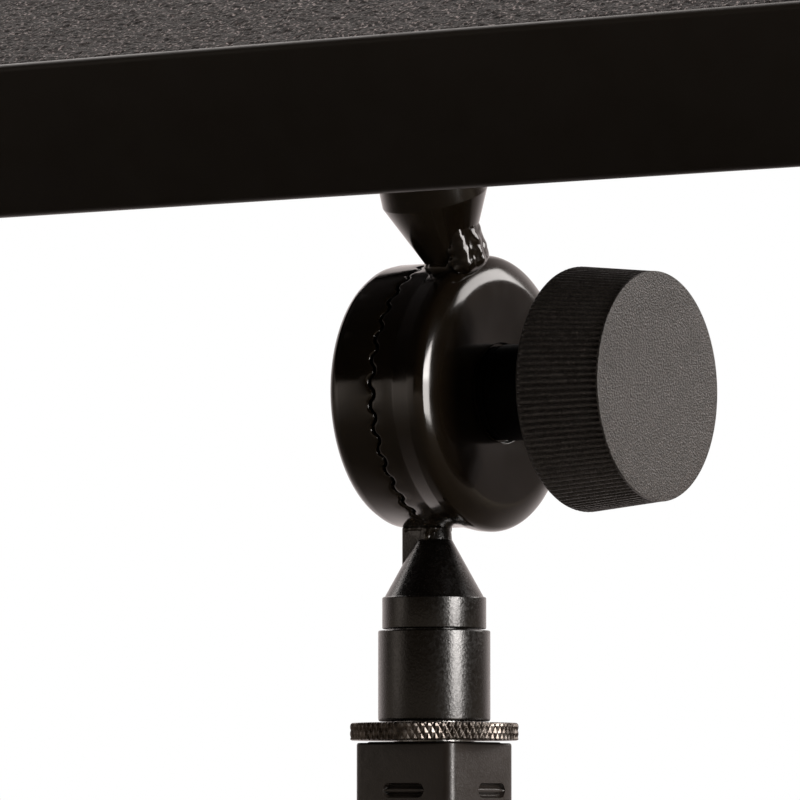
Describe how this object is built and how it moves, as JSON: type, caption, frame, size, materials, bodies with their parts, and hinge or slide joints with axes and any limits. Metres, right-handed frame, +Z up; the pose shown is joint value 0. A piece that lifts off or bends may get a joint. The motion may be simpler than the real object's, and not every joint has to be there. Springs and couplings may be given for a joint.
{
  "type": "music stand",
  "caption": "Music stand: foam-topped folded steel tray on a toothed tilt clutch, screw-on adaptor, telescoping square mast and four-leg base.",
  "frame": {"origin": "on the floor under the mast's axis, at the middle of the base", "axes": "+Z up along the mast, +X along the clutch's axis towards the tilt knob, -Y towards the player"},
  "size_m": [0.4386, 0.4386, 1.1056],
  "materials": {
    "satin_paint": "satin black powder coat",
    "gloss_paint": "gloss black paint",
    "foam": "open-cell charcoal foam",
    "knurled_steel": "diamond knurl, blackened",
    "plated_steel": "zinc plated",
    "knob_plastic": "fine grain",
    "rubber": "matte"
  },
  "bodies": {
    "base": {"base_hub": "satin_paint", "base_bolt": "plated_steel", "base_washer": "plated_steel", "outer_mast": "satin_paint", "mast_plug": "plated_steel", "mast_bushing": "knob_plastic", "mast_collar": "satin_paint", "clamp_shoe": "plated_steel", "leg_1": "satin_paint", "leg_2": "satin_paint", "leg_3": "satin_paint", "leg_4": "satin_paint", "leg_screw_1": "plated_steel", "leg_screw_2": "plated_steel", "leg_screw_3": "plated_steel", "leg_screw_4": "plated_steel", "foot_1": "rubber", "foot_2": "rubber", "foot_3": "rubber", "foot_4": "rubber"},
    "height_clamp": {"height_knob": "knob_plastic", "height_screw": "plated_steel"},
    "mast": {"inner_mast": "satin_paint", "stud_plug": "plated_steel"},
    "ring": {"lock_ring": "knurled_steel"},
    "head": {"back_cup": "gloss_paint", "clutch_bolt": "plated_steel", "clutch_spring": "plated_steel", "lower_neck": "gloss_paint", "threaded_sleeve": "satin_paint"},
    "tilt_clamp": {"tilt_knob": "knob_plastic", "knob_insert": "plated_steel", "knob_hub": "knob_plastic", "thrust_washer": "plated_steel"},
    "desk": {"tray_pan": "satin_paint", "foam_pad": "foam", "tray_channel": "satin_paint", "upper_stem": "gloss_paint", "front_cup": "gloss_paint", "stem_washer": "plated_steel", "stem_nut": "plated_steel", "tray_stud_1": "plated_steel", "tray_stud_2": "plated_steel", "tray_stud_3": "plated_steel", "tray_stud_4": "plated_steel", "tray_nut_1": "plated_steel", "tray_nut_2": "plated_steel", "tray_nut_3": "plated_steel", "tray_nut_4": "plated_steel"}
  },
  "joints": [
    {"name": "mast_height", "type": "slide", "parent": "base", "child": "mast", "axis": [0, 0, 1], "range_m": [-0.18, 0.22]},
    {"name": "height_knob_turn", "type": "hinge", "parent": "base", "child": "height_clamp", "pos_m": [0, 0, 0.598], "axis": [1, 0, 0], "range_deg": [-720, 720]},
    {"name": "lock_ring_turn", "type": "hinge", "parent": "mast", "child": "ring", "pos_m": [0, 0, 0.8942], "axis": [0, 0, 1], "range_deg": [-360, 360]},
    {"name": "head_swivel", "type": "hinge", "parent": "mast", "child": "head", "pos_m": [0, 0, 0.96], "axis": [0, 0, 1], "range_deg": [-180, 180]},
    {"name": "tilt_knob_turn", "type": "hinge", "parent": "head", "child": "tilt_clamp", "pos_m": [0.0024, 0, 0.96], "axis": [1, 0, 0], "range_deg": [-720, 720]},
    {"name": "tray_tilt", "type": "hinge", "parent": "head", "child": "desk", "pos_m": [0.0024, 0, 0.96], "axis": [1, 0, 0], "range_deg": [-40, 60]}
  ]
}
